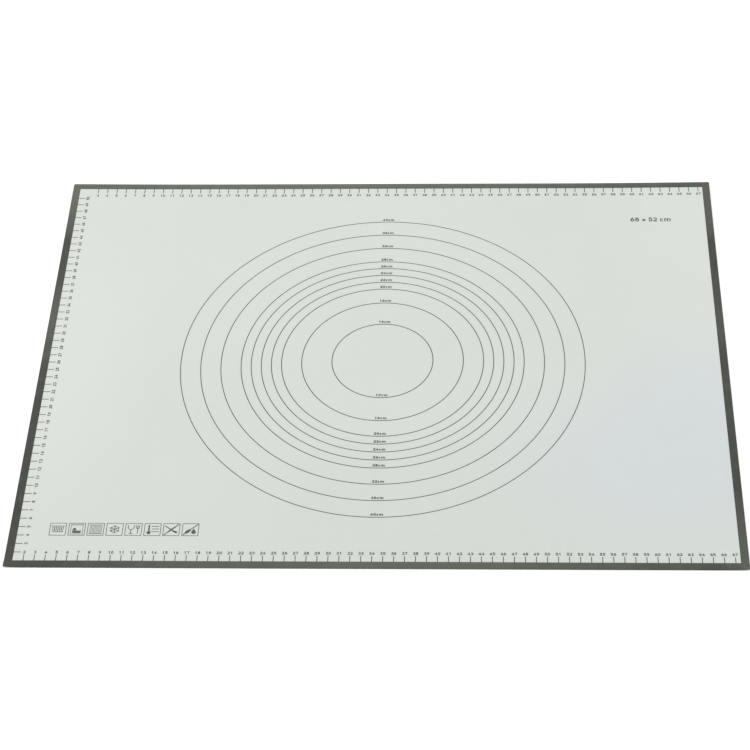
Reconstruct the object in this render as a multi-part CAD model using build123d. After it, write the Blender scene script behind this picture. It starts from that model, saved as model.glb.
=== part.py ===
from build123d import *
import math
import os

# Silicone baking mat, lying flat: glass cloth between two silicone coats, with its cut edge closed by a dark
# silicone band, and with centimetre rulers and size rings printed on top.
# Millimetres. X runs along the long side, Y away from the user and Z up. The origin is the middle of the underside.

# The sheet
mat_length = 680.0
mat_width = 520.0
lower_layer_thickness = 0.25
cloth_thickness = 0.2
upper_layer_thickness = 0.25

# The edge band
band_width = 7.8
band_rise = 0.2  # how far the band stands above the upper layer, a little more than the ink
corner_radius = 1.5
nose_radius = 0.4  # rounding of the band's upper outer edge; the underside was cast flat, with a square edge
cloth_cover = 2.8  # silicone between the cloth's cut edge and the mat's edge

# The print
ink_thickness = 0.15
ring_line_width = 0.85
ring_diameters = {
    "ring_100mm": 100.0,
    "ring_160mm": 160.0,
    "ring_200mm": 200.0,
    "ring_220mm": 220.0,
    "ring_240mm": 240.0,
    "ring_260mm": 260.0,
    "ring_280mm": 280.0,
    "ring_320mm": 320.0,
    "ring_360mm": 360.0,
    "ring_400mm": 400.0,
}
mark_pitch = 10.0
mark_width = 0.75
mark_length = 6.6
ruler_zero_offset = 2.4  # the rulers count from this far outside the mat's left and front edges
start_clearance = 5.0  # least bare length between a band and the first front or left mark
rear_start_clearance = 15.0  # the same for the rear ruler, whose first number would meet the left ruler's last
end_clearance = 4.0  # least bare length between the last front or rear mark and the right band
corner_clearance = 10.0  # least bare length between the last left mark and the rear band, for the rear ruler

# Heights, from the underside up
cloth_bottom = lower_layer_thickness
cloth_top = cloth_bottom + cloth_thickness
print_bed = cloth_top + upper_layer_thickness
band_top = print_bed + band_rise

# The field inside the band
field_length = mat_length - 2 * band_width
field_width = mat_width - 2 * band_width


def sheet(length, width, bottom, top):
    """A flat sheet with square corners, centred on the mat."""
    return Pos(0, 0, bottom) * extrude(Rectangle(length, width), top - bottom)


def glass_cloth():
    """The cloth, cut short of the mat's edge so that the band closes round it."""
    return sheet(mat_length - 2 * cloth_cover, mat_width - 2 * cloth_cover, cloth_bottom, cloth_top)


def edge_band():
    """The dark frame: rounded corners and nose outside, a square window inside, and a slot that holds the cloth."""
    blank = extrude(RectangleRounded(mat_length, mat_width, corner_radius), band_top)
    rounded = fillet(blank.edges().group_by(Axis.Z)[-1], min(nose_radius, 0.9 * band_top))
    window = sheet(field_length, field_width, 0, band_top)
    return rounded - window - glass_cloth()


def printed_ring(diameter):
    """A closed ink line round the middle of the mat; the diameter is that of the line's middle."""
    outside = Circle((diameter + ring_line_width) / 2)
    inside = Circle((diameter - ring_line_width) / 2)
    return Pos(0, 0, print_bed) * extrude(outside - inside, ink_thickness)


def mark_offsets(side_length, near_clearance, far_clearance):
    """How far the marks of one ruler lie from the edge they count from, clear of the bands at both ends."""
    first = math.ceil((band_width + near_clearance + ruler_zero_offset) / mark_pitch)
    last = math.floor((side_length - band_width - far_clearance + ruler_zero_offset) / mark_pitch)
    return [number * mark_pitch - ruler_zero_offset for number in range(first, last + 1)]


def printed_marks(centres, size_x, size_y):
    """One straight ink mark at each centre."""
    mark = extrude(Rectangle(size_x, size_y), ink_thickness)
    return Compound([Pos(x, y, print_bed) * mark for x, y in centres])


def cross_ruler(clearance, y):
    """The marks of a ruler along the front or rear band, with their middles at y."""
    offsets = mark_offsets(mat_length, clearance, end_clearance)
    return printed_marks([(offset - mat_length / 2, y) for offset in offsets], mark_width, mark_length)


def side_ruler(clearance, x):
    """The marks of a ruler along the left band, with their middles at x."""
    offsets = mark_offsets(mat_width, clearance, corner_clearance)
    return printed_marks([(x, offset - mat_width / 2) for offset in offsets], mark_length, mark_width)


mark_inset = mark_length / 2  # the marks start at the band
pieces = {
    "fibreglass_core": glass_cloth(),
    "lower_silicone_layer": sheet(field_length, field_width, 0, cloth_bottom),
    "upper_silicone_layer": sheet(field_length, field_width, cloth_top, print_bed),
    "edge_band": edge_band(),
    "front_ruler_ticks": cross_ruler(start_clearance, mark_inset - field_width / 2),
    "rear_ruler_ticks": cross_ruler(rear_start_clearance, field_width / 2 - mark_inset),
    "left_ruler_ticks": side_ruler(start_clearance, mark_inset - field_length / 2),
}
for node, diameter in ring_diameters.items():
    pieces[node] = printed_ring(diameter)

os.makedirs("parts", exist_ok=True)
for node, piece in pieces.items():
    export_step(piece, f"parts/{node}.step")
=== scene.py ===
import math

import bpy
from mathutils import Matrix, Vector


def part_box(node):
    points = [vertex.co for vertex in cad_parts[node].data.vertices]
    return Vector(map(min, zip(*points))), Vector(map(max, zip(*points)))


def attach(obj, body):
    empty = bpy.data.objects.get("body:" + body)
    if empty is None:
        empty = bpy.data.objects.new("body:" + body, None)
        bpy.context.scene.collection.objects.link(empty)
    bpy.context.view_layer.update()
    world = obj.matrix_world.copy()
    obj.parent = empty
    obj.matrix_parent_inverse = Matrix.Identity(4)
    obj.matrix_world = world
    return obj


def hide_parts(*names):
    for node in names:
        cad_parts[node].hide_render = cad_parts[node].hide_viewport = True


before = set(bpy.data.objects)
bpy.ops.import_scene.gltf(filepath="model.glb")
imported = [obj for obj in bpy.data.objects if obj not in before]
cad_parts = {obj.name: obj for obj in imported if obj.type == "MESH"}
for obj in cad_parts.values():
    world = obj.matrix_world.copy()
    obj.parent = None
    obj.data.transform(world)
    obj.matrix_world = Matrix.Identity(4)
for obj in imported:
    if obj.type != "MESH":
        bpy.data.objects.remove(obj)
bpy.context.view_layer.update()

# A silicone baking mat on a white worktop. Metres. X runs along the long side, Y away from the user and
# Z up, and the origin is the middle of the underside, as in the frame.
MM = 0.001

# Sizes that the frame holds
mat_low, mat_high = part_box("edge_band")
field_low, field_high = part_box("upper_silicone_layer")
cloth_low, cloth_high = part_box("fibreglass_core")
print_bed = field_high.z
ink_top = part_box("front_ruler_ticks")[1].z
band_width = field_low.x - mat_low.x
cloth_cover = cloth_low.x - mat_low.x

# How the mat lies
wave_height = 0.15 * MM
wave_length_x = 310 * MM
wave_length_y = 230 * MM
wave_phase = 0.7, 0.3  # radians, along X and Y
front_curl = 1.4 * MM  # how far the two front corners turn up
front_curl_reach = 12 * MM
rear_curl = 1.2 * MM  # the rear corners rise over a longer stretch, as the mat was kept rolled up
rear_curl_reach = 120 * MM

# The edge band
corner_radius = 1.5 * MM
nose_radius = 0.4 * MM
small_radius = 0.08 * MM
corner_zone = 18 * MM  # how far from a corner the band's cross lines fan out, and the sheets' lines are fine

# Meshes
fine_pitch = 2 * MM
coarse_pitch = 12 * MM
ring_steps = 288
crease_angle = 32  # degrees from which an edge is shaded sharp
tolerance = 1e-9

# The print
ink_sink = 0.03 * MM  # how deep the ink is set into the coat
ink_layer = 0.002 * MM  # how much higher a stroke lies than one that it crosses
ink_shoulder = 0.5  # share of the ink's height where its sides start to round
stroke_flat = 0.75  # share of a stroke's width that is flat on top
patch_flat = 0.95
least_turn_share = 0.65  # cosine of half the sharpest turn that a stroke follows to its tip
mark_pitch = 10 * MM
ruler_zero_offset = 2.4 * MM  # the rulers count from this far outside the mat's left and front edges
front_number_inset = 9.6 * MM  # from the band to the middle of the numbers
rear_number_inset = 10.1 * MM
left_number_inset = 9.8 * MM
number_height = 3.25 * MM
number_stroke = 0.2  # the pen's width as a share of the letters' height, as in the other two
caption_height = 3.15 * MM
caption_stroke = 0.25
caption_place = 0.4 * MM, 3.4 * MM  # from a ring's front or rear point to the middle of its caption
size_mark_height = 6.0 * MM
size_mark_stroke = 0.19
size_mark_place = 275 * MM, 203 * MM
sign_size = 15.0 * MM, 14.3 * MM
sign_pitch = 17.64 * MM
sign_line = 0.55 * MM
first_sign_corner = -302.4 * MM, -222.6 * MM


# Shape of the mat

def lift(x, y):
    """How far the mat stands off the worktop: faint waves all over, and the four corners curling up."""
    turn_x = 2 * math.pi * x / wave_length_x
    turn_y = 2 * math.pi * y / wave_length_y
    wave = (1 + math.sin(turn_x + wave_phase[0]) * math.cos(turn_y + wave_phase[1])) / 2
    from_front = (mat_high.x - abs(x) + y - mat_low.y) / math.sqrt(2)
    from_rear = (mat_high.x - abs(x) + mat_high.y - y) / math.sqrt(2)
    front = front_curl * max(0.0, 1 - from_front / front_curl_reach) ** 2
    rear = rear_curl * max(0.0, 1 - from_rear / rear_curl_reach) ** 2
    return wave_height * wave + front + rear


def piece(name, parts, surface, nodes=()):
    """One object of the mat from closed parts, each a list of points and a list of faces over them."""
    points, faces = [], []
    for part_points, part_faces in parts:
        start = len(points)
        points += [(x, y, z + lift(x, y)) for x, y, z in part_points]
        faces += [[start + corner for corner in face] for face in part_faces]
    mesh = bpy.data.meshes.new(name)
    mesh.from_pydata(points, [], faces)
    mesh.materials.append(surface)
    mesh.shade_smooth()
    mesh.set_sharp_from_angle(angle=math.radians(crease_angle))
    made = bpy.data.objects.new(name, mesh)
    bpy.context.scene.collection.objects.link(made)
    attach(made, "root")
    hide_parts(*nodes)
    return made


def grid_lines(low, high):
    """Even lines across a sheet, closer together near both ends, where the corners curl."""
    ends = [step * fine_pitch for step in range(round(corner_zone / fine_pitch))]
    middle = high - low - 2 * corner_zone
    count = math.ceil(middle / coarse_pitch)
    inner = [low + corner_zone + middle * step / count for step in range(count + 1)]
    return [low + end for end in ends] + inner + [high - end for end in reversed(ends)]


def sheet(low, high):
    """A closed thin sheet: an upper and a lower face of the same grid, and a rim between them."""
    xs, ys = grid_lines(low.x, high.x), grid_lines(low.y, high.y)
    columns, rows = len(xs), len(ys)
    layer = columns * rows
    points = [(x, y, z) for z in (low.z, high.z) for y in ys for x in xs]
    faces = []
    for row in range(rows - 1):
        for column in range(columns - 1):
            first = row * columns + column
            quad = [first, first + 1, first + columns + 1, first + columns]
            faces.append([layer + corner for corner in quad])
            faces.append(quad[::-1])
    front = list(range(columns))
    right = [row * columns + columns - 1 for row in range(1, rows)]
    rear = [layer - 1 - column for column in range(1, columns)]
    left = [row * columns for row in range(rows - 2, 0, -1)]
    rim = front + right + rear + left
    for here, there in zip(rim, rim[1:] + rim[:1]):
        faces.append([here, there, layer + there, layer + here])
    return points, faces


def arc(centre, radii, start, end, steps):
    """Points along part of an ellipse, the angles in degrees."""
    angles = [math.radians(start + (end - start) * step / steps) for step in range(steps + 1)]
    return [(centre[0] + radii[0] * math.cos(a), centre[1] + radii[1] * math.sin(a)) for a in angles]


def between(start, end, share):
    return tuple(a + (b - a) * share for a, b in zip(start, end))


def band_side(length):
    """Cross lines of the band along one side, from mitre to mitre. Each is its point on the mat's outline,
    on the cloth's edge and on the window, measured along the side and inward from its edge."""
    covers = (0, cloth_cover, band_width)
    radius, run = corner_radius, corner_zone - corner_radius
    steps = 8
    outline = arc((radius, radius), (radius, radius), 225, 270, 4)
    outline += [(radius + run * step / steps, 0) for step in range(1, steps + 1)]
    last = len(outline) - 1
    corner = []
    for step, point in enumerate(outline):
        inward = [(cover + (corner_zone - cover) * step / last, cover) for cover in covers[1:]]
        corner.append((point, *inward))
    middle = length - 2 * corner_zone
    count = math.ceil(middle / coarse_pitch)
    inner = []
    for step in range(1, count):
        along = corner_zone + middle * step / count
        inner.append(tuple((along, cover) for cover in covers))
    far = [tuple((length - along, inward) for along, inward in line) for line in reversed(corner)]
    return corner + inner + far[:-1]


def band_section():
    """The band's section, from its underside round the slot for the cloth, the window and the nose."""
    top, nose, small = mat_high.z, nose_radius, small_radius
    lower_edge = arc((small, small), (small, small), 270, 180, 3)
    upper_edge = arc((nose, top - nose), (nose, nose), 180, 90, 6)
    window_edge = arc((band_width - small, top - small), (small, small), 90, 0, 3)
    slot = [(band_width, cloth_high.z), (cloth_cover, cloth_high.z), (cloth_cover, cloth_low.z)]
    foot = [(band_width, cloth_low.z), (band_width, 0)]
    outside_in = lower_edge + upper_edge + window_edge + slot + foot
    return outside_in[::-1]


def edge_band():
    """The band swept round the mat with its four mitres shared, as one closed frame."""
    length, width = mat_high.x - mat_low.x, mat_high.y - mat_low.y
    sides = [
        (Vector((mat_low.x, mat_low.y)), Vector((1, 0)), length),
        (Vector((mat_high.x, mat_low.y)), Vector((0, 1)), width),
        (Vector((mat_high.x, mat_high.y)), Vector((-1, 0)), length),
        (Vector((mat_low.x, mat_high.y)), Vector((0, -1)), width),
    ]
    section = band_section()
    points = []
    for start, along, side_length in sides:
        inward = Vector((-along.y, along.x))
        for outline, cloth_edge, window in band_side(side_length):
            for depth, height in section:
                if depth <= cloth_cover:
                    place = between(outline, cloth_edge, depth / cloth_cover)
                else:
                    share = (depth - cloth_cover) / (band_width - cloth_cover)
                    place = between(cloth_edge, window, share)
                spot = start + along * place[0] + inward * place[1]
                points.append((spot.x, spot.y, height))
    return points, tube_faces(len(points) // len(section), len(section), closed=True)


def tube_faces(stations, around, closed):
    """Quads between a tube's sections, each with as many points around, and its two ends if it is open."""
    faces = []
    for station in range(stations if closed else stations - 1):
        here, there = station * around, (station + 1) % stations * around
        for corner in range(around):
            onward = (corner + 1) % around
            faces.append([here + corner, here + onward, there + onward, there + corner])
    if not closed:
        faces.append(list(range(around))[::-1])
        faces.append([(stations - 1) * around + corner for corner in range(around)])
    return faces


# Ink

def stroke(line, width, closed=False, layer=0):
    """A raised ink line along points, softly rounded on top, its sharp turns blunted.
    A higher layer lies a hair above one that it crosses."""
    top = ink_top - print_bed + layer * ink_layer
    left = [(-1, -ink_sink), (-1, ink_shoulder * top), (-stroke_flat, top)]
    section = left + [(-share, height) for share, height in reversed(left)]
    path = [Vector(point) for point in line]
    last = len(path) - 1
    points = []
    for index, point in enumerate(path):
        before = path[index - 1] if closed or index > 0 else None
        after = path[(index + 1) % len(path)] if closed or index < last else None
        arrive = (point - before).normalized() if before else (after - point).normalized()
        leave = (after - point).normalized() if after else arrive
        along = (arrive + leave).normalized()
        reach = width / 2 / max(least_turn_share, along.dot(leave))
        for share, height in section:
            place = point + Vector((-along.y, along.x)) * -share * reach
            points.append((place.x, place.y, print_bed + height))
    return points, tube_faces(len(path), len(section), closed)


def patch(outline, layer=0):
    """A filled ink area with straight or gently curved edges, its outline counter-clockwise."""
    top = ink_top - print_bed + layer * ink_layer
    count = len(outline)
    middle = sum((Vector(point) for point in outline), Vector((0, 0))) / count
    points = []
    for share, height in ((1, -ink_sink), (1, ink_shoulder * top), (patch_flat, top)):
        for point in outline:
            place = between(middle, point, share)
            points.append((place[0], place[1], print_bed + height))
    return points, tube_faces(3, count, closed=False)


def printed_ring(node):
    """A ring's line, its width found from the node's box and the diameter in the node's name."""
    low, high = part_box(node)
    outside = (high.x - low.x) / 2
    radius = ring_diameter(node) / 2
    circle = arc((0, 0), (radius, radius), 0, 360, ring_steps)[:-1]
    return stroke(circle, 2 * (outside - radius), closed=True)


def ring_diameter(node):
    return int("".join(letter for letter in node if letter.isdigit())) * MM


def mark_width(low, high):
    """The width of a ruler's marks, which is what its node measures beyond whole centimetres."""
    return math.fmod(high - low, mark_pitch)


def mark_places(low, high):
    """The middles of a ruler's marks between the two ends of its node."""
    width = mark_width(low, high)
    count = round((high - low - width) / mark_pitch) + 1
    return [low + width / 2 + step * mark_pitch for step in range(count)]


def cross_marks(node):
    low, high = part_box(node)
    width = mark_width(low.x, high.x)
    return [stroke([(x, low.y), (x, high.y)], width) for x in mark_places(low.x, high.x)]


def side_marks(node):
    low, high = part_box(node)
    width = mark_width(low.y, high.y)
    return [stroke([(low.x, y), (high.x, y)], width) for y in mark_places(low.y, high.y)]


# Lettering

# Plain upright letters: each one's width without its stroke, its height, and its lines in shares of them
bowl = arc((0.5, 0.31), (0.5, 0.31), 0, 360, 16)
six = [bowl, arc((1.0, 0.31), (1.0, 0.69), 180, 100, 8)]
letters = {
    "0": (0.52, 1.0, [arc((0.5, 0.5), (0.5, 0.5), 0, 360, 20)]),
    "1": (0.52, 1.0, [[(0.56, 0.0), (0.56, 1.0)], [(0.12, 0.76), (0.5, 0.96)]]),
    "2": (0.52, 1.0, [
        arc((0.5, 0.71), (0.47, 0.29), 170, -35, 12) + [(0.06, 0.02)],
        [(0.0, 0.0), (1.0, 0.0)],
    ]),
    "3": (0.52, 1.0, [
        arc((0.48, 0.76), (0.42, 0.24), 160, -90, 12),
        arc((0.48, 0.26), (0.52, 0.26), 90, -160, 12),
    ]),
    "4": (0.56, 1.0, [[(0.72, 0.0), (0.72, 1.0), (0.0, 0.27)], [(0.0, 0.27), (1.0, 0.27)]]),
    "5": (0.52, 1.0, [
        [(0.9, 1.0), (0.16, 1.0), (0.08, 0.5)],
        arc((0.46, 0.32), (0.54, 0.32), 138, -155, 14),
    ]),
    "6": (0.52, 1.0, six),
    "7": (0.52, 1.0, [[(0.0, 1.0), (1.0, 1.0), (0.36, 0.0)]]),
    "8": (0.52, 1.0, [
        arc((0.5, 0.77), (0.42, 0.23), 0, 360, 16),
        arc((0.5, 0.27), (0.5, 0.27), 0, 360, 16),
    ]),
    "9": (0.52, 1.0, [[(1 - x, 1 - y) for x, y in line] for line in six]),
    "c": (0.48, 0.74, [arc((0.5, 0.5), (0.5, 0.5), 45, 315, 14)]),
    "m": (0.9, 0.74, [
        [(0.0, 0.0), (0.0, 1.0)],
        arc((0.25, 0.66), (0.25, 0.34), 180, 0, 8) + [(0.5, 0.0)],
        arc((0.75, 0.66), (0.25, 0.34), 180, 0, 8) + [(1.0, 0.0)],
    ]),
    "x": (0.48, 0.74, [[(0.0, 1.0), (1.0, 0.0)], [(0.0, 0.0), (1.0, 1.0)]]),
    " ": (0.08, 1.0, []),
}
letter_gap = 0.1


def end_at_outline(start, end, reach):
    """The end of a run. An upright or level run goes on by the reach, to the letter's outline."""
    run = Vector(end) - Vector(start)
    if min(abs(run.x), abs(run.y)) > tolerance:
        return end
    return tuple(Vector(end) + run.normalized() * reach)


def lettering(text, place, height, pen, turned=False):
    """Raised letters centred on a place, the pen's width as a share of their height.
    Turned letters read from the front of the mat to its rear."""
    reach = pen * height / 2
    total = sum(letters[letter][0] + pen for letter in text) + letter_gap * (len(text) - 1)
    parts = []
    x = -total / 2
    for letter in text:
        width, tall, drawn = letters[letter]
        for layer, line in enumerate(drawn):
            closed = math.dist(line[0], line[-1]) < tolerance
            spots = []
            for share_x, share_y in line[:-1] if closed else line:
                across = (x + pen / 2 + share_x * width) * height
                up = (pen / 2 + share_y * (tall - pen) - 0.5) * height
                offset = (-up, across) if turned else (across, up)
                spots.append((place[0] + offset[0], place[1] + offset[1]))
            if not closed:
                first = end_at_outline(spots[1], spots[0], reach)
                last = end_at_outline(spots[-2], spots[-1], reach)
                spots = [first, *spots[1:-1], last]
            parts.append(stroke(spots, pen * height, closed, layer))
        x += width + pen + letter_gap
    return parts


def ruler_number(from_edge):
    return str(round((from_edge + ruler_zero_offset) / mark_pitch))


def cross_numbers(node, y):
    """Upright numbers in line with the marks of the front or the rear ruler."""
    low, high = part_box(node)
    parts = []
    for x in mark_places(low.x, high.x):
        parts += lettering(ruler_number(x - mat_low.x), (x, y), number_height, number_stroke)
    return parts


def side_numbers(node, x):
    """Turned numbers in line with the left ruler's marks. The first is left out, because it falls on the
    front ruler's."""
    low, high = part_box(node)
    parts = []
    for y in mark_places(low.y, high.y)[1:]:
        number = ruler_number(y - mat_low.y)
        parts += lettering(number, (x, y), number_height, number_stroke, turned=True)
    return parts


def ring_captions(nodes):
    """Each ring's diameter, over its rearmost and its front point."""
    parts = []
    for node in nodes:
        diameter = ring_diameter(node)
        text = f"{round(diameter * 100)}cm"
        for side in (-1, 1):
            place = caption_place[0], side * diameter / 2 + caption_place[1]
            parts += lettering(text, place, caption_height, caption_stroke)
    return parts


# Kitchen signs, each drawn in a square of side 1

def lines(*drawn, width=1.0, closed=False):
    return [("stroke", line, width, closed) for line in drawn]


def area(*outline):
    return [("patch", list(outline), 1.0, True)]


def basket_sign():
    bars = [[(0.2 + 0.1 * step, 0.28), (0.16 + 0.11333 * step, 0.74)] for step in range(7)]
    rims = lines([(0.08, 0.76), (0.92, 0.76)], [(0.18, 0.28), (0.82, 0.28)])
    wires = lines([(0.17, 0.44), (0.83, 0.44)], [(0.15, 0.6), (0.85, 0.6)], *bars, width=0.7)
    return rims + wires


def dish_sign():
    door = lines([(0.13, 0.1), (0.87, 0.1), (0.87, 0.9), (0.13, 0.9)], width=0.7, closed=True)
    glow = lines(*[[(0.2 + 0.1 * step, 0.78), (0.2 + 0.1 * step, 0.84)] for step in range(7)], width=0.7)
    loaf = area(*arc((0.36, 0.41), (0.12, 0.2), 0, 180, 8))
    dish = area((0.26, 0.18), (0.74, 0.18), (0.79, 0.38), (0.21, 0.38))
    return door + glow + dish + loaf


def rack_sign():
    bars = [[(0.14 + 0.08 * step, 0.14), (0.14 + 0.08 * step, 0.86)] for step in range(10)]
    return lines(*bars, width=0.6) + lines([(0.1, 0.14), (0.9, 0.14)], [(0.1, 0.86), (0.9, 0.86)], width=0.8)


def snowflake_sign():
    centre = Vector((0.5, 0.5))
    drawn = []
    for step in range(6):
        angle = math.radians(60 * step + 30)
        ray = Vector((math.cos(angle), math.sin(angle)))
        fork = centre + ray * 0.2
        drawn.append([centre + ray * 0.02, centre + ray * 0.34])
        for turn in (-1, 1):
            side = Vector((math.cos(angle + turn), math.sin(angle + turn)))
            drawn.append([fork, fork + side * 0.13])
    return lines(*drawn, width=1.05)


def glass_and_fork_sign():
    glass = [(0.14, 0.84), (0.18, 0.58), (0.34, 0.44), (0.5, 0.58), (0.54, 0.84)]
    stem = [(0.34, 0.44), (0.34, 0.16)]
    foot = [(0.22, 0.16), (0.46, 0.16)]
    handle = [(0.76, 0.6), (0.76, 0.16)]
    tines = [[(x, 0.6), (x, 0.84)] for x in (0.67, 0.76, 0.85)]
    return lines(glass, stem, foot, handle, [(0.67, 0.6), (0.85, 0.6)], width=1.2) + lines(*tines)


def thermometer_sign():
    bulb = area(*arc((0.28, 0.24), (0.13, 0.13), 0, 360, 16)[:-1])
    scale = [[(0.44, y), (0.9, y)] for y in (0.32, 0.54, 0.76)]
    return bulb + lines([(0.28, 0.3), (0.28, 0.86)], width=2.6) + lines(*scale, width=1.2)


def crossed_tools_sign():
    pin = lines([(0.3, 0.3), (0.72, 0.72)], width=2.8) + lines([(0.06, 0.06), (0.94, 0.94)], width=1.6)
    spatula = area((0.62, 0.44), (0.56, 0.34), (0.82, 0.18), (0.9, 0.32))
    return pin + lines([(0.1, 0.8), (0.62, 0.38)], width=1.8) + spatula


def brush_and_drop_sign():
    brush = lines([(0.94, 0.94), (0.5, 0.5)], width=1.6) + lines([(0.06, 0.06), (0.3, 0.3)], width=1.6)
    bristles = area((0.26, 0.16), (0.4, 0.24), (0.55, 0.45), (0.45, 0.55), (0.24, 0.4), (0.16, 0.26))
    drop = area(*arc((0.71, 0.29), (0.145, 0.145), -220, 40, 12), (0.71, 0.6))
    return brush + bristles + drop


def kitchen_signs():
    """A row of framed pictograms for the kitchen: wash, bake, cool, freeze, serve, warm, roll and brush."""
    signs = [
        basket_sign(), dish_sign(), rack_sign(), snowflake_sign(),
        glass_and_fork_sign(), thermometer_sign(), crossed_tools_sign(), brush_and_drop_sign(),
    ]
    border = lines([(0, 0), (1, 0), (1, 1), (0, 1)], closed=True)
    parts = []
    for place, sign in enumerate(signs):
        left, front = first_sign_corner[0] + place * sign_pitch, first_sign_corner[1]
        for layer, (kind, drawn, width, closed) in enumerate(border + sign):
            placed = [(left + x * sign_size[0], front + y * sign_size[1]) for x, y in drawn]
            if kind == "patch":
                parts.append(patch(placed, layer))
            else:
                parts.append(stroke(placed, width * sign_line, closed, layer))
    return parts


# Materials

weave_pitch = 0.8 * MM
coat_weave_depth = 0.02 * MM
underside_weave_depth = 0.05 * MM
glass_weave_depth = 0.08 * MM
silicone_ior = 1.41
glass_ior = 1.5
noise_detail = 3.0
noise_middle = 0.3, 0.7  # most of a noise's values lie between these

# Unevenness in soft patches: how large they are, and the least and the most
coat_clouds = 160 * MM, 0.1, 0.5
coat_roughness = 45 * MM, 0.45, 0.55
underside_roughness = 45 * MM, 0.55, 0.65
band_wear = 50 * MM, -0.06, 0.06
band_roughness = 18 * MM, 0.44, 0.56
ink_coverage = 1.6 * MM, 0, 1
ink_roughness = 5 * MM, 0.48, 0.6
glass_roughness = 4 * MM, 0.3, 0.42

# Bumps: how wide and how deep
coat_bumps = [(0.5 * MM, 0.01 * MM), (30 * MM, 0.06 * MM)]
band_bumps = [(0.35 * MM, 0.02 * MM), (14 * MM, 0.05 * MM)]
ink_bumps = [(0.3 * MM, 0.015 * MM)]

# The cloth showing through the coats
thread_size = 9 * MM
thread_slimness = 0.12
thread_share = 0.25
weave_gap_share = 0.12

# Wear of the band beside its patches of painted sheen
wear_everywhere = 0.12
rubbed_size = 5 * MM
rubbed_stretch = 0.5, 0.5, 1
rubbed_sharpness = 4.0
rubbed_share = 0.18

# Colours
# The third, cool colour of the coat and of the underside is a painted reflection, mixed in towards the front
# right
coat_light = 0.697, 0.739, 0.691, 1
coat_dark = 0.652, 0.692, 0.648, 1
coat_reflection_tint = 0.650, 0.686, 0.723, 1
under_light = 0.64, 0.69, 0.635, 1
under_dark = 0.59, 0.64, 0.59, 1
under_reflection_tint = 0.60, 0.64, 0.62, 1
band_fresh = 0.026, 0.031, 0.022, 1
# The paler band colour below serves both random wear and the painted sheen along the band's sides
band_wear_and_sheen = 0.113, 0.124, 0.096, 1
band_rubbed = 0.16, 0.17, 0.14, 1
ink_thin = 0.094, 0.108, 0.092, 1
ink_full = 0.070, 0.082, 0.068, 1
glass_gap = 0.5, 0.53, 0.52, 1
glass_thread = 0.78, 0.8, 0.78, 1

# Patches of painted light on the surfaces: the middle, the reach along X and Y, and the strength
# Painted sheen on the band: paler stretches along each side, palest along the rear, and one faintly darker
# stretch on the right side
band_painted_sheen = [
    ((20 * MM, -260 * MM), (420 * MM, 60 * MM), 0.65),
    ((-180 * MM, -260 * MM), (90 * MM, 60 * MM), 0.12),
    ((-120 * MM, 260 * MM), (700 * MM, 60 * MM), 0.9),
    ((-340 * MM, 55 * MM), (40 * MM, 90 * MM), 0.5),
    ((-340 * MM, 215 * MM), (40 * MM, 50 * MM), 0.5),
    ((340 * MM, -235 * MM), (40 * MM, 80 * MM), 0.4),
    ((340 * MM, 60 * MM), (40 * MM, 90 * MM), 0.15),
    ((340 * MM, 140 * MM), (40 * MM, 55 * MM), -0.1),
    ((340 * MM, 215 * MM), (40 * MM, 60 * MM), 0.35),
]
# Painted light and shade on the coat and the underside: lighter towards the left and right sides, darker
# towards the front middle
coat_painted_light_and_shade = [
    ((-330 * MM, 0), (130 * MM, 250 * MM), 0.9),
    ((330 * MM, 130 * MM), (140 * MM, 220 * MM), 0.5),
    ((60 * MM, -190 * MM), (260 * MM, 130 * MM), -0.5),
    ((330 * MM, -15 * MM), (80 * MM, 90 * MM), 0.8),
]
# A painted cool reflection on the coat and the underside, towards the front right
coat_painted_reflection = [
    ((270 * MM, -130 * MM), (190 * MM, 160 * MM), 0.8),
    ((310 * MM, -20 * MM), (110 * MM, 110 * MM), 0.45),
]


def add(tree, kind, sockets=None, **settings):
    """A shader node with its settings and its inputs, each a value or another node's output."""
    node = tree.nodes.new(kind)
    for name, value in settings.items():
        setattr(node, name, value)
    for name, value in (sockets or {}).items():
        if isinstance(value, bpy.types.NodeSocket):
            tree.links.new(value, node.inputs[name])
        else:
            node.inputs[name].default_value = value
    return node


def maths(tree, operation, first, second=0.0):
    return add(tree, "ShaderNodeMath", {0: first, 1: second}, operation=operation).outputs[0]


def vector_maths(tree, operation, first, second=(0, 0, 0)):
    node = add(tree, "ShaderNodeVectorMath", {0: first, 1: second}, operation=operation)
    return node.outputs["Value" if operation == "LENGTH" else "Vector"]


def place_on(tree):
    return add(tree, "ShaderNodeTexCoord").outputs["Object"]


def noise(tree, place, size, stretch=(1, 1, 1)):
    """Smooth noise from 0 to 1 whose patches are about as large as size."""
    stretched = vector_maths(tree, "MULTIPLY", place, stretch)
    sockets = {"Vector": stretched, "Scale": 1 / size, "Detail": noise_detail}
    return add(tree, "ShaderNodeTexNoise", sockets).outputs[0]


def ranged(tree, value, low, high):
    """The middle of a noise's range spread over low to high."""
    least, most = noise_middle
    sockets = {"Value": value, "From Min": least, "From Max": most, "To Min": low, "To Max": high}
    return add(tree, "ShaderNodeMapRange", sockets).outputs[0]


def uneven(tree, place, size, low, high):
    """Values from low to high in soft patches about as large as size."""
    return ranged(tree, noise(tree, place, size), low, high)


def mixed(tree, share, first, second):
    sockets = {0: share, 6: first, 7: second}
    return add(tree, "ShaderNodeMix", sockets, data_type="RGBA").outputs[2]


def patches(tree, place, areas):
    """Soft-edged patches added up, each area being its middle, its reach along X and Y, and its strength."""
    total = 0.0
    for middle, reach, strength in areas:
        offset = vector_maths(tree, "SUBTRACT", place, (*middle, 0))
        scaled = vector_maths(tree, "MULTIPLY", offset, (1 / reach[0], 1 / reach[1], 0))
        distance = vector_maths(tree, "LENGTH", scaled)
        fading = {"Value": distance, "To Min": strength, "To Max": 0.0}
        falloff = add(tree, "ShaderNodeMapRange", fading, interpolation_type="SMOOTHSTEP").outputs[0]
        total = maths(tree, "ADD", total, falloff)
    return total


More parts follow.
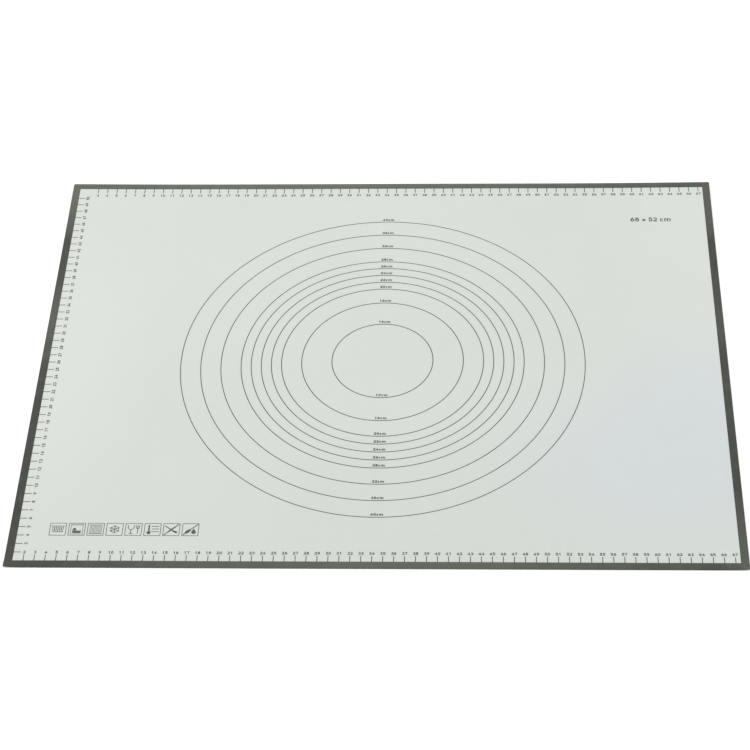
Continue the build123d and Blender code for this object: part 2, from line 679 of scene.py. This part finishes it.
def weave(tree, place):
    """Height of a plain weave: rounded threads both ways, each over and under in turn."""
    split = add(tree, "ShaderNodeSeparateXYZ", {0: place})
    threads = []
    cells = []
    for axis in (0, 1):
        count = maths(tree, "DIVIDE", split.outputs[axis], weave_pitch)
        wave = maths(tree, "SINE", maths(tree, "MULTIPLY", count, math.pi))
        threads.append(maths(tree, "ABSOLUTE", wave))
        cells.append(maths(tree, "FLOOR", count))
    over = maths(tree, "PINGPONG", maths(tree, "ADD", cells[0], cells[1]), 1.0)
    warp_on_top = maths(tree, "MULTIPLY", threads[0], over)
    weft_on_top = maths(tree, "MULTIPLY", threads[1], maths(tree, "SUBTRACT", 1.0, over))
    return maths(tree, "ADD", warp_on_top, weft_on_top)


def material(name, colour, roughness, bumps, ior, weave_depth=0.0):
    """A surface with its colour from a function that adds nodes, and with uneven roughness. The bumps, pairs
    of width and depth, lie on the weave if that has a depth."""
    made = bpy.data.materials.new(name)
    made.use_nodes = True
    tree = made.node_tree
    tree.nodes.clear()
    place = place_on(tree)
    heights = [(weave(tree, place), weave_depth)] if weave_depth else []
    heights += [(noise(tree, place, size), depth) for size, depth in bumps]
    normal = None
    for height, depth in heights:
        sockets = {"Height": height, "Strength": 1.0, "Distance": depth}
        if normal:
            sockets["Normal"] = normal
        normal = add(tree, "ShaderNodeBump", sockets).outputs[0]
    sockets = {"Base Color": colour(tree, place), "Normal": normal, "IOR": ior}
    sockets["Roughness"] = uneven(tree, place, *roughness)
    shader = add(tree, "ShaderNodeBsdfPrincipled", sockets)
    output = add(tree, "ShaderNodeOutputMaterial")
    tree.links.new(shader.outputs[0], output.inputs["Surface"])
    return made


def pale_coat(name, light, dark, cool, roughness, weave_depth):
    """Pale silicone over glass cloth. The weave and random clouds show faintly through it. On top of these
    lie painted light and shade, lighter towards the left and right sides and darker towards the front
    middle, and a painted cool reflection towards the front right.
    """
    def colour(tree, place):
        # painted light and shade: soft lighter and darker stretches added to the random clouds
        painted_light_share = patches(tree, place, coat_painted_light_and_shade)
        clouds_and_painted_light = maths(tree, "ADD", uneven(tree, place, *coat_clouds), painted_light_share)
        streaky = noise(tree, place, thread_size, stretch=(1, thread_slimness, 1))
        crossing = noise(tree, place, thread_size, stretch=(thread_slimness, 1, 1))
        streaks = maths(tree, "MULTIPLY", maths(tree, "ADD", streaky, crossing), 0.5)
        threads = ranged(tree, streaks, 0, 1)
        # the cool colour goes in as a painted reflection towards the front right
        coat = mixed(tree, patches(tree, place, coat_painted_reflection), mixed(tree, clouds_and_painted_light, dark, light), cool)
        woven = mixed(tree, maths(tree, "MULTIPLY", threads, thread_share), coat, light)
        gaps = maths(tree, "SUBTRACT", 1.0, weave(tree, place))
        return mixed(tree, maths(tree, "MULTIPLY", gaps, weave_gap_share), woven, dark)

    return material(name, colour, roughness, coat_bumps, silicone_ior, weave_depth)


def dark_silicone():
    """The edge band: satin grey silicone with a fine stipple, faint smears and pale rubbed spots.
    It has painted sheen: soft paler stretches along its sides, most of all along the rear side, where it
    reflects the most light."""
    def colour(tree, place):
        # painted sheen: paler stretches along the sides, most of all the rear
        painted_sheen_share = patches(tree, place, band_painted_sheen)
        everywhere = maths(tree, "ADD", uneven(tree, place, *band_wear), wear_everywhere)
        base = mixed(tree, maths(tree, "ADD", painted_sheen_share, everywhere), band_fresh, band_wear_and_sheen)
        spots = noise(tree, place, rubbed_size, stretch=rubbed_stretch)
        rubbed = maths(tree, "POWER", ranged(tree, spots, 0, 1), rubbed_sharpness)
        return mixed(tree, maths(tree, "MULTIPLY", rubbed, rubbed_share), base, band_rubbed)

    return material("dark_band_silicone", colour, band_roughness, band_bumps, silicone_ior)


def ink():
    """Dark grey silicone print, a little thinner in places."""
    def colour(tree, place):
        return mixed(tree, uneven(tree, place, *ink_coverage), ink_thin, ink_full)

    return material("print_ink_grey", colour, ink_roughness, ink_bumps, silicone_ior)


def glass_cloth():
    """Bare woven glass, white with a cool tint and a silky gloss."""
    def colour(tree, place):
        return mixed(tree, weave(tree, place), glass_gap, glass_thread)

    return material("woven_glass", colour, glass_roughness, [], glass_ior, glass_weave_depth)


# Building the mat

def build_mat():
    top_colours = coat_light, coat_dark, coat_reflection_tint
    under_colours = under_light, under_dark, under_reflection_tint
    coat = pale_coat("pale_coat", *top_colours, coat_roughness, coat_weave_depth)
    underside = pale_coat("pale_underside", *under_colours, underside_roughness, underside_weave_depth)
    lower_low, lower_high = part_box("lower_silicone_layer")
    lower_parts = [sheet(lower_low, lower_high)]
    cloth_parts = [sheet(cloth_low, cloth_high)]
    upper_parts = [sheet(field_low, field_high)]
    lower = piece("mat_lower_skin", lower_parts, underside, ["lower_silicone_layer"])
    cloth = piece("mat_glass_cloth", cloth_parts, glass_cloth(), ["fibreglass_core"])
    upper = piece("mat_upper_skin", upper_parts, coat, ["upper_silicone_layer"])
    piece("mat_edge_binding", [edge_band()], dark_silicone(), ["edge_band"])


def build_print():
    dark = ink()
    rings = sorted(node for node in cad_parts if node.startswith("ring_"))
    for node in rings:
        piece("printed_" + node, [printed_ring(node)], dark, [node])
    piece("front_ruler_marks", cross_marks("front_ruler_ticks"), dark, ["front_ruler_ticks"])
    piece("rear_ruler_marks", cross_marks("rear_ruler_ticks"), dark, ["rear_ruler_ticks"])
    piece("left_ruler_marks", side_marks("left_ruler_ticks"), dark, ["left_ruler_ticks"])
    front = cross_numbers("front_ruler_ticks", field_low.y + front_number_inset)
    rear = cross_numbers("rear_ruler_ticks", field_high.y - rear_number_inset)
    left = side_numbers("left_ruler_ticks", field_low.x + left_number_inset)
    piece("front_ruler_numbers", front, dark)
    piece("rear_ruler_numbers", rear, dark)
    piece("left_ruler_numbers", left, dark)
    piece("ring_captions", ring_captions(rings), dark)
    piece("kitchen_signs", kitchen_signs(), dark)
    length, width = mat_high.x - mat_low.x, mat_high.y - mat_low.y
    size_text = f"{round(length * 100)} x {round(width * 100)} cm"
    size_mark = lettering(size_text, size_mark_place, size_mark_height, size_mark_stroke)
    piece("size_mark", size_mark, dark)


# Worktop, lights and camera

floor_size = 14.0
floor_colour = 0.86, 0.86, 0.86, 1
near_glow = 0.3  # seen, but lighting nothing: the worktop is white and still takes the mat's shadow
far_glow = 0.5  # where the lamps reach less
glow_distances = 0.8, 2.5  # from the mat's middle to where the glow starts and ends growing
world_level = 0.75  # the light of the surroundings, which look white themselves
lamps = {
    "rear_softbox": {"place": (0, 2.4, 1.5), "size": (2.4, 0.8), "power": 9.0, "tint": (1, 1, 1)},
    "left_softbox": {"place": (-1.5, 0.1, 1.5), "size": (1.2, 1.2), "power": 9.5, "tint": (1, 1, 1)},
    "right_softbox": {"place": (1.5, 0.1, 1.5), "size": (1.2, 1.2), "power": 5.0, "tint": (0.96, 0.98, 1)},
}
camera_place = 0.0935, -1.4736, 1.5621
camera_turn = 42.983, 1.735, 1.649
camera_lens = 104.23
camera_sensor = 36
camera_shift = -0.015


def seen_share(tree):
    """1 for rays that show the surroundings, straight, mirrored or through something, or else 0."""
    path = add(tree, "ShaderNodeLightPath")
    mirrored = maths(tree, "MAXIMUM", path.outputs["Is Glossy Ray"], path.outputs["Is Transmission Ray"])
    return maths(tree, "MAXIMUM", path.outputs["Is Camera Ray"], mirrored)


def build_floor():
    half = floor_size / 2
    mesh = bpy.data.meshes.new("worktop")
    corners = [(-half, -half, 0), (half, -half, 0), (half, half, 0), (-half, half, 0)]
    mesh.from_pydata(corners, [], [(0, 1, 2, 3)])
    floor = bpy.data.objects.new("worktop", mesh)
    bpy.context.scene.collection.objects.link(floor)
    paint = bpy.data.materials.new("worktop_white")
    paint.use_nodes = True
    tree = paint.node_tree
    tree.nodes.clear()
    matt = add(tree, "ShaderNodeBsdfDiffuse", {"Color": floor_colour})
    distance = vector_maths(tree, "LENGTH", place_on(tree))
    near, far = glow_distances
    levels = {"From Min": near, "From Max": far, "To Min": near_glow, "To Max": far_glow}
    level = add(tree, "ShaderNodeMapRange", {"Value": distance, **levels}).outputs[0]
    strength = maths(tree, "MULTIPLY", seen_share(tree), level)
    glow = add(tree, "ShaderNodeEmission", {"Strength": strength})
    both = add(tree, "ShaderNodeAddShader", {0: matt.outputs[0], 1: glow.outputs[0]})
    output = add(tree, "ShaderNodeOutputMaterial")
    tree.links.new(both.outputs[0], output.inputs["Surface"])
    mesh.materials.append(paint)


def build_lights():
    world = bpy.data.worlds.new("studio")
    bpy.context.scene.world = world
    world.use_nodes = True
    tree = world.node_tree
    tree.nodes.clear()
    levels = {"Value": seen_share(tree), "To Min": world_level, "To Max": 1.0}
    level = add(tree, "ShaderNodeMapRange", levels).outputs[0]
    background = add(tree, "ShaderNodeBackground", {"Color": (1, 1, 1, 1), "Strength": level})
    output = add(tree, "ShaderNodeOutputWorld")
    tree.links.new(background.outputs[0], output.inputs["Surface"])
    for name, lamp in lamps.items():
        data = bpy.data.lights.new(name, "AREA")
        data.shape = "RECTANGLE"
        data.size, data.size_y = lamp["size"]
        data.energy = lamp["power"]
        data.color = lamp["tint"]
        made = bpy.data.objects.new(name, data)
        made.location = lamp["place"]
        made.rotation_euler = (-made.location).to_track_quat("-Z", "Y").to_euler()
        bpy.context.scene.collection.objects.link(made)


def build_camera():
    data = bpy.data.cameras.new("camera")
    data.lens = camera_lens
    data.sensor_width = camera_sensor
    data.shift_x = camera_shift
    made = bpy.data.objects.new("camera", data)
    made.location = camera_place
    made.rotation_euler = [math.radians(angle) for angle in camera_turn]
    bpy.context.scene.collection.objects.link(made)
    bpy.context.scene.camera = made


bpy.context.scene.view_settings.view_transform = "Standard"
build_camera()
build_mat()
build_print()
build_floor()
build_lights()
